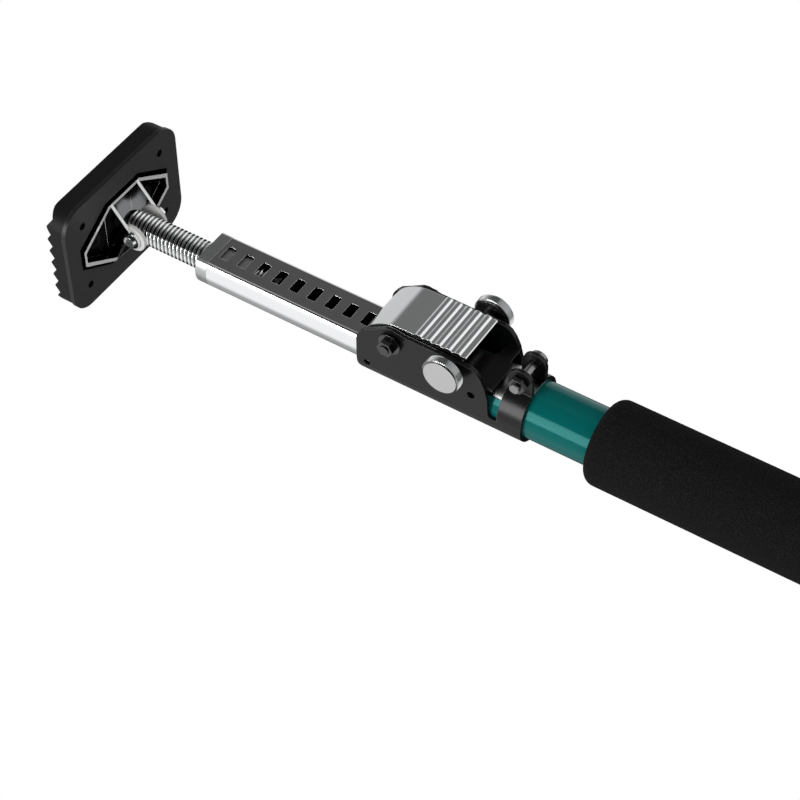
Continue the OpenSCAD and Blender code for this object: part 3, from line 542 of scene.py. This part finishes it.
# Lock knobs
# Two turned knobs: a brushed face, a bevelled rim with a straight knurl, and a boss on the shaft.
# The teeth of the knurl are one tooth repeated round the rim.
KNOB_RIM = 0.0055
KNOB_BOSS = 0.00525
KNOB_BEVEL = 0.0006
KNOB_STEPS = 128
KNURL_TEETH = 64
KNURL_DEPTH = 0.0005
TOOTH_WIDTH_SHARE = 1.02
GROOVE_PAINTED_SHADE = 0.02
BOX_SLACK = 0.00002
knob_low, knob_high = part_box("near_knob")
KNOB_RADIUS = (knob_high[2] - knob_low[2]) / 2 - BOX_SLACK


def keep(mesh_data, name, material, body, replaced):
    """Puts a finished mesh in the scene, on its body, in place of the CAD node it stands for."""
    mesh_data.name = name
    item = bpy.data.objects.new(name, mesh_data)
    bpy.context.scene.collection.objects.link(item)
    mesh_data.materials.clear()
    mesh_data.materials.append(material)
    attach(item, body)
    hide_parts(replaced)
    return item


def mesh_from(mesh, name):
    """Turns a bmesh into mesh data whose faces point outwards."""
    bmesh.ops.recalc_face_normals(mesh, faces=mesh.faces)
    data = bpy.data.meshes.new(name)
    mesh.to_mesh(data)
    mesh.free()
    return data


def lathe(rows, steps, place):
    """A closed turned mesh from rows of (radius, distance along the axis), put in place."""
    mesh = bmesh.new()
    rings = []
    for radius, along in rows:
        if radius == 0:
            rings.append([mesh.verts.new(place @ Vector((0, 0, along)))] * steps)
            continue
        rings.append([
            mesh.verts.new(place @ Vector((
                radius * math.cos(2 * math.pi * i / steps),
                radius * math.sin(2 * math.pi * i / steps),
                along,
            )))
            for i in range(steps)
        ])
    for low, high in zip(rings, rings[1:]):
        for i in range(steps):
            j = (i + 1) % steps
            corners = []
            for vert in (low[i], low[j], high[j], high[i]):
                if vert not in corners:
                    corners.append(vert)
            mesh.faces.new(corners)
    return mesh_from(mesh, "turned")


def repeat_round_group():
    """Geometry Nodes: joins a body with copies of an item set round a circle."""
    group = bpy.data.node_groups.new("repeat_round", "GeometryNodeTree")
    for name, kind in (
        ("Geometry", "NodeSocketGeometry"),
        ("Item", "NodeSocketObject"),
        ("Count", "NodeSocketInt"),
        ("Radius", "NodeSocketFloat"),
        ("Material", "NodeSocketMaterial"),
    ):
        group.interface.new_socket(name, in_out="INPUT", socket_type=kind)
    group.interface.new_socket("Geometry", in_out="OUTPUT", socket_type="NodeSocketGeometry")
    inside = group.nodes.new("NodeGroupInput")
    outside = group.nodes.new("NodeGroupOutput")
    circle = group.nodes.new("GeometryNodeMeshCircle")
    link(group, inside.outputs["Count"], circle.inputs["Vertices"])
    link(group, inside.outputs["Radius"], circle.inputs["Radius"])
    item = group.nodes.new("GeometryNodeObjectInfo")
    link(group, inside.outputs["Item"], item.inputs["Object"])
    index = group.nodes.new("GeometryNodeInputIndex")
    share = math_node(group, "DIVIDE", index.outputs["Index"], inside.outputs["Count"])
    turned = group.nodes.new("ShaderNodeCombineXYZ")
    link(group, math_node(group, "MULTIPLY", share, 2 * math.pi), turned.inputs["Z"])
    copies = group.nodes.new("GeometryNodeInstanceOnPoints")
    link(group, circle.outputs["Mesh"], copies.inputs["Points"])
    link(group, item.outputs["Geometry"], copies.inputs["Instance"])
    link(group, turned.outputs["Vector"], copies.inputs["Rotation"])
    real = group.nodes.new("GeometryNodeRealizeInstances")
    link(group, copies.outputs["Instances"], real.inputs["Geometry"])
    joined = group.nodes.new("GeometryNodeJoinGeometry")
    link(group, real.outputs["Geometry"], joined.inputs["Geometry"])
    link(group, inside.outputs["Geometry"], joined.inputs["Geometry"])
    painted = group.nodes.new("GeometryNodeSetMaterial")
    link(group, joined.outputs["Geometry"], painted.inputs["Geometry"])
    link(group, inside.outputs["Material"], painted.inputs["Material"])
    link(group, painted.outputs["Geometry"], outside.inputs["Geometry"])
    return group


repeat_round = repeat_round_group()


def with_copies(body_data, item_data, count, radius, material, place):
    """Runs the repeat_round group on a body and returns the finished mesh, put in place."""
    body = bpy.data.objects.new("round_body", body_data)
    item = bpy.data.objects.new("round_item", item_data)
    for made in (body, item):
        bpy.context.scene.collection.objects.link(made)
    modifier = body.modifiers.new("copies", "NODES")
    modifier.node_group = repeat_round
    keys = {
        socket.name: socket.identifier
        for socket in repeat_round.interface.items_tree
        if socket.in_out == "INPUT"
    }
    modifier[keys["Item"]] = item
    modifier[keys["Count"]] = count
    modifier[keys["Radius"]] = radius
    modifier[keys["Material"]] = material
    bpy.context.view_layer.update()
    ready = body.evaluated_get(bpy.context.evaluated_depsgraph_get())
    data = bpy.data.meshes.new_from_object(ready)
    body.modifiers.clear()
    for made in (body, item):
        bpy.data.objects.remove(made)
    data.transform(place)
    return data


def knurl_tooth(length):
    """A wedge along Z with its ridge on +X and its ends sloped, sitting on the origin."""
    mesh = bmesh.new()
    half = length / 2
    wide = math.pi * (KNOB_RADIUS - KNURL_DEPTH) / KNURL_TEETH * TOOTH_WIDTH_SHARE
    sink = -KNURL_DEPTH
    low = [mesh.verts.new((sink, y, z)) for z in (-half, half) for y in (-wide, wide)]
    top = [mesh.verts.new((KNURL_DEPTH, 0, z)) for z in (-half + KNOB_BEVEL, half - KNOB_BEVEL)]
    for corners in (
        (low[0], low[1], top[0]),
        (low[3], low[2], top[1]),
        (low[0], top[0], top[1], low[2]),
        (low[1], low[3], top[1], top[0]),
        (low[0], low[2], low[3], low[1]),
    ):
        mesh.faces.new(corners)
    return mesh_from(mesh, "tooth")


def make_radial_depth():
    """0 at the root radius about an axis and 1 at the crest, so that grooves can get painted shade.

    Across is 1 in the two directions across the axis and 0 along it.
    """
    inputs = {"Centre": (0, 0, 0), "Across": (1, 1, 0), "Root": 0.0, "Crest": 1.0}
    group, inside, outside = new_group("radial_depth", inputs, {"Mask": "NodeSocketFloat"})
    moved = vector_node(group, "SUBTRACT", object_place(group), inside.outputs["Centre"])
    across = vector_node(group, "MULTIPLY", moved.outputs["Vector"], inside.outputs["Across"])
    radius = vector_node(group, "LENGTH", across.outputs["Vector"])
    span = group.nodes.new("ShaderNodeMapRange")
    link(group, inside.outputs["Root"], span.inputs["From Min"])
    link(group, inside.outputs["Crest"], span.inputs["From Max"])
    link(group, radius.outputs["Value"], span.inputs["Value"])
    link(group, span.outputs["Result"], outside.inputs["Mask"])
    return group


radial_depth = make_radial_depth()


def paint_groove_shade(material, centre, across, root, crest, dark):
    """Paints shade into a finish towards the roots of its knurl or thread."""
    values = {"Centre": centre, "Across": across, "Root": root, "Crest": crest}
    depth = add_group(material.node_tree, radial_depth, values)
    paint_shade_where(material, [depth.outputs["Mask"]], dark)


brushed = finish("brushed_face", (0.56, 0.56, 0.56), 1, 0.25, spread=0.08, scale=900, depth=0.000006,
                 stretch=(1, 1, 0.08), tint=0.05, edge=0.0002)
knurled = finish("knurled_chrome", (0.8, 0.81, 0.82), 1, 0.16, spread=0.04, scale=500, depth=0.000002,
                 tint=0.03)
knob_axis = (0, (knob_low[1] + knob_high[1]) / 2, (knob_low[2] + knob_high[2]) / 2)
# Painted shade in the knurl's grooves.
paint_groove_shade(knurled, knob_axis, (0, 1, 1), KNOB_RADIUS - 2 * KNURL_DEPTH, KNOB_RADIUS, GROOVE_PAINTED_SHADE)


def make_knob(node, name):
    """Turns a knob's body, repeats its teeth, and gives its rim the knurled finish."""
    low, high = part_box(node)
    centre = (Vector(low) + Vector(high)) / 2
    outward = -1 if centre.x < 0 else 1
    base_x = high[0] if outward < 0 else low[0]
    face_x = low[0] if outward < 0 else high[0]
    thick = abs(face_x - base_x)
    rim_z = thick - KNOB_RIM
    root = KNOB_RADIUS - KNURL_DEPTH
    rows = [
        (0, 0), (KNOB_BOSS, 0), (KNOB_BOSS, rim_z), (root - KNOB_BEVEL, rim_z),
        (root, rim_z + KNOB_BEVEL), (root, thick - KNOB_BEVEL), (root - KNOB_BEVEL, thick),
        (0, thick),
    ]
    body = lathe(rows, KNOB_STEPS, Matrix.Identity(4))
    tooth = knurl_tooth(KNOB_RIM - KNOB_BEVEL)
    tooth.transform(Matrix.Translation((0, 0, thick - KNOB_RIM / 2)))
    spin = Matrix.Rotation(math.radians(90 * outward), 4, "Y")
    place = Matrix.Translation((base_x, centre.y, centre.z)) @ spin
    data = with_copies(body, tooth, KNURL_TEETH, root, brushed, place)
    keep(data, name, brushed, "lock", node)
    data.materials.append(knurled)
    for face in data.polygons:
        face.material_index = 0 if abs(face.normal.x) > FLAT_SHARE else 1


make_knob("near_knob", "near_knurled_knob")
make_knob("far_knob", "far_knurled_knob")

# Threaded rod
# A zinc-plated rod with one true rolled helix that runs out at both ends, a round top end,
# and the neck for the stop ring.
PITCH = 0.0024
TURN_STEPS = 48
SPARE_TURNS = 3
MERGE_GAP = 1e-7
THREAD_DEPTH = 0.0011
# Each point of the thread's section: its share of the pitch, and its share of the depth
CREST_SHARES = ((0.0, 0.0), (0.16, 0.4), (0.28, 0.92), (0.4, 1.0), (0.52, 0.92), (0.64, 0.4), (0.8, 0.0))
ROD_CENTRE_Y = 0.0017
ROD_SLACK = 0.00001
NECK_START = 0.002
NECK_END = 0.0042
NECK_DROP = 0.001
THREAD_START = 0.0062
TOP_ROUND_L = 0.0034
TOP_ROUND_R = 0.0032
TOP_STEPS = 6
ROOT_PAINTED_SHADE = 0.06


def rod_rows(turned, low_z, high_z, root, turns):
    """The rod's outline from its lower to its top end, at a share of a turn round it.

    The rows before the thread, and the rows of the thread, are as many at every share.
    """
    start = low_z + THREAD_START
    end = high_z - TOP_ROUND_L
    rows = [
        (0, low_z), (root, low_z), (root, low_z + NECK_START), (root - NECK_DROP, low_z + NECK_START),
        (root - NECK_DROP, low_z + NECK_END), (root, low_z + NECK_END),
    ]
    first = len(rows)
    for k in range(-1, turns):
        for share, height in CREST_SHARES:
            z = start + (k + share + turned) * PITCH
            kept_z = min(max(z, start), end)
            fade = max(0, min(1, (kept_z - start) / PITCH, (end - kept_z) / PITCH))
            rows.append((root + THREAD_DEPTH * height * fade, kept_z))
    threaded = len(rows) - first
    for k in range(1, TOP_STEPS + 1):
        bend = k / TOP_STEPS * math.pi / 2
        rows.append((root - TOP_ROUND_R * (1 - math.cos(bend)), end + TOP_ROUND_L * math.sin(bend)))
    rows.append((0, high_z))
    return rows, first, threaded


def seam_row(row, first, threaded):
    """The row on the first column that meets the given row where the helix closes its turn."""
    if first <= row < first + threaded:
        return min(row + len(CREST_SHARES), first + threaded - 1)
    return row


def make_rod():
    low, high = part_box("threaded_rod")
    crest = (high[0] - low[0]) / 2 - ROD_SLACK
    root = crest - THREAD_DEPTH
    threaded_l = high[2] - TOP_ROUND_L - low[2] - THREAD_START
    turns = int(threaded_l / PITCH) + SPARE_TURNS
    mesh = bmesh.new()
    columns = []
    for i in range(TURN_STEPS):
        turned = i / TURN_STEPS
        angle = 2 * math.pi * turned
        rows, first, threaded = rod_rows(turned, low[2], high[2], root, turns)
        columns.append([
            mesh.verts.new((radius * math.cos(angle), ROD_CENTRE_Y + radius * math.sin(angle), z))
            for radius, z in rows
        ])
    for i, column in enumerate(columns):
        following = columns[(i + 1) % TURN_STEPS]
        at_seam = i == TURN_STEPS - 1
        for j in range(len(column) - 1):
            c = seam_row(j, first, threaded) if at_seam else j
            d = seam_row(j + 1, first, threaded) if at_seam else j + 1
            corners = (column[j], following[c], following[d], column[j + 1])
            if len(set(corners)) == 4:
                mesh.faces.new(corners)
    bmesh.ops.remove_doubles(mesh, verts=mesh.verts, dist=MERGE_GAP)
    data = mesh_from(mesh, "rod")
    data.shade_smooth()
    rolled = finish("rolled_thread", (0.86, 0.87, 0.88), 1, 0.1, spread=0.04, scale=500, depth=0.000002,
                    tint=0.03)
    # Painted shade towards the thread's roots.
    paint_groove_shade(rolled, (0, ROD_CENTRE_Y, 0), (1, 1, 0), root, crest - THREAD_DEPTH / 3, ROOT_PAINTED_SHADE)
    keep(data, "rolled_thread_rod", rolled, "rod", "threaded_rod")


make_rod()

# Foam grip
# A sleeve of black foam rubber, pushed on the tube, with soft round ends and open pores.
GRIP_STEPS = 160
GRIP_ROUND = 0.006
ROUND_STEPS = 8
BORE_GAP = 0.0001
FOAM_ROUGH = 0.95
FOAM_SPECULAR = 0.08
FOAM_GRAIN = 1200
FOAM_DEPTH = 0.0004
PORE_SCALE = 2600
PORE_DETAIL = 2
PORE_FLOOR = 0.004
PORE_WALL = 0.02
PORE_FLOOR_SHARE = 0.5
PORE_WALL_SHARE = 0.74


def make_foam():
    """Dark pores between lighter walls, over a coarse uneven skin."""
    material, tree = new_material("open_foam")
    shader = tree.nodes.new("ShaderNodeBsdfPrincipled")
    shader.inputs["Roughness"].default_value = FOAM_ROUGH
    shader.inputs["Specular IOR Level"].default_value = FOAM_SPECULAR
    pores = tree.nodes.new("ShaderNodeTexNoise")
    pores.inputs["Scale"].default_value = PORE_SCALE
    pores.inputs["Detail"].default_value = PORE_DETAIL
    link(tree, object_place(tree), pores.inputs["Vector"])
    ramp = tree.nodes.new("ShaderNodeValToRGB")
    stops = ((PORE_FLOOR_SHARE, PORE_FLOOR), (PORE_WALL_SHARE, PORE_WALL))
    for stop, (share, level) in zip(ramp.color_ramp.elements, stops):
        stop.position = share
        stop.color = (level, level, level, 1)
    link(tree, pores.outputs["Fac"], ramp.inputs["Fac"])
    link(tree, ramp.outputs["Color"], shader.inputs["Base Color"])
    pattern = add_group(tree, grain, {"Scale": FOAM_GRAIN})
    link(tree, object_place(tree), pattern.inputs["Vector"])
    bump = tree.nodes.new("ShaderNodeBump")
    bump.inputs["Strength"].default_value = 1
    bump.inputs["Distance"].default_value = FOAM_DEPTH
    link(tree, pattern.outputs["Height"], bump.inputs["Height"])
    link(tree, bump.outputs["Normal"], shader.inputs["Normal"])
    set_output(tree, shader)
    return material


grip_low, grip_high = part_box("foam_grip")
tube_low, tube_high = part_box("outer_tube")
grip_radius = (grip_high[0] - grip_low[0]) / 2
grip_bore = (tube_high[0] - tube_low[0]) / 2 + BORE_GAP
grip_length = grip_high[2] - grip_low[2]
end_rows = []
for step in range(ROUND_STEPS + 1):
    bend = step / ROUND_STEPS * math.pi / 2
    end_rows.append((grip_radius - GRIP_ROUND * (1 - math.sin(bend)), GRIP_ROUND * (1 - math.cos(bend))))
far_rows = [(radius, grip_length - along) for radius, along in reversed(end_rows)]
bore_rows = [(grip_bore, grip_length), (grip_bore, 0)]
grip_rows = [(grip_bore, 0)] + end_rows + far_rows + bore_rows
grip_data = lathe(grip_rows, GRIP_STEPS, Matrix.Translation((0, 0, grip_low[2])))
grip_data.shade_smooth()
foam_sleeve = keep(grip_data, "foam_sleeve", make_foam(), "pole", "foam_grip")
